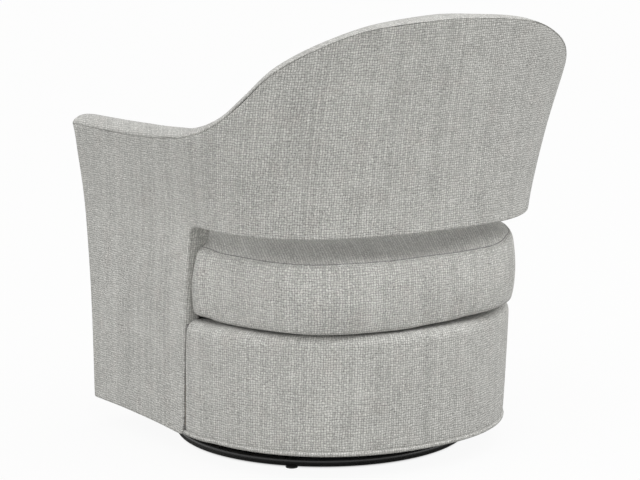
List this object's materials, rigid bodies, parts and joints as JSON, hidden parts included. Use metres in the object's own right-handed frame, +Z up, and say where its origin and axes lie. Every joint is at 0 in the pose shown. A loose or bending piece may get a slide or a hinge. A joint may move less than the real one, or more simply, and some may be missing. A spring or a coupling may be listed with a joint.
{
  "type": "swivel rocker",
  "caption": "Barrel-back upholstered chair with an open window behind its loose cushion, on a round steel base that swivels and rocks.",
  "frame": {"origin": "centre of the outline on the floor", "axes": "+Z up, +X to the sitter's left, +Y to the back of the chair; the sitter faces -Y"},
  "size_m": [0.7508, 0.7318, 0.8336],
  "materials": {
    "black_paint": "gloss black paint",
    "nylon": "moulded",
    "steel": "zinc plated",
    "rubber": "matt",
    "spring_steel": "oiled",
    "hardwood": "sawn",
    "plywood": "sanded",
    "webbing": "woven",
    "woven_cloth": "light warm grey weave",
    "padding": "light warm grey weave over wadding",
    "dust_cloth": "black non-woven"
  },
  "bodies": {
    "base": {"base_ring": "black_paint", "base_bar_long": "black_paint", "base_bar_left": "black_paint", "base_bar_right": "black_paint", "floor_glide_1": "nylon", "floor_glide_2": "nylon", "floor_glide_3": "nylon", "floor_glide_4": "nylon", "lower_swivel_plate": "steel", "bearing_ring": "steel", "centre_bolt": "steel", "centre_nut": "steel"},
    "swivel": {"upper_swivel_plate": "steel", "pivot_bracket_left": "steel", "pivot_bracket_right": "steel", "pivot_rod": "steel", "bump_stop_front": "rubber", "bump_stop_rear": "rubber", "rock_spring_1": "spring_steel", "rock_spring_2": "spring_steel", "rock_spring_3": "spring_steel", "rock_spring_4": "spring_steel"},
    "chair": {"rocker_plate": "steel", "rocker_hanger_left": "steel", "rocker_hanger_right": "steel", "mechanism_rail_front": "hardwood", "mechanism_rail_rear": "hardwood", "front_post_left": "hardwood", "front_post_right": "hardwood", "jamb_post_left": "hardwood", "jamb_post_right": "hardwood", "back_slat": "hardwood", "seat_bottom_board_front": "plywood", "seat_bottom_board_rear": "plywood", "seat_top_board_front": "plywood", "seat_top_board_rear": "plywood", "seat_rear_band": "plywood", "seat_front_board": "plywood", "arm_frame_left": "plywood", "arm_frame_right": "plywood", "back_top_rail": "plywood", "back_bottom_rail": "plywood", "deck_webbing_1": "webbing", "deck_webbing_2": "webbing", "deck_webbing_3": "webbing", "seat_base_cover": "woven_cloth", "seat_front_cover": "woven_cloth", "seat_base_welt": "woven_cloth", "seat_cushion": "woven_cloth", "cushion_welt_top": "woven_cloth", "cushion_welt_bottom": "woven_cloth", "arm_cover_left": "woven_cloth", "arm_cover_right": "woven_cloth", "back_cover": "woven_cloth", "deck_pad": "padding", "arm_pad_left": "padding", "arm_pad_right": "padding", "back_pad": "padding", "dust_cover_front": "dust_cloth", "dust_cover_rear": "dust_cloth"}
  },
  "joints": [
    {"name": "swivel", "type": "hinge", "parent": "base", "child": "swivel", "pos_m": [0, -0.05753, 0.03], "axis": [0, 0, 1], "continuous": true},
    {"name": "rock", "type": "hinge", "parent": "swivel", "child": "chair", "pos_m": [0, -0.05753, 0.1179], "axis": [-1, 0, 0], "range_deg": [-4.5, 4.5], "stiffness_Nm_per_rad": 900, "deforming": ["rock_spring_1", "rock_spring_2", "rock_spring_3", "rock_spring_4"]}
  ]
}
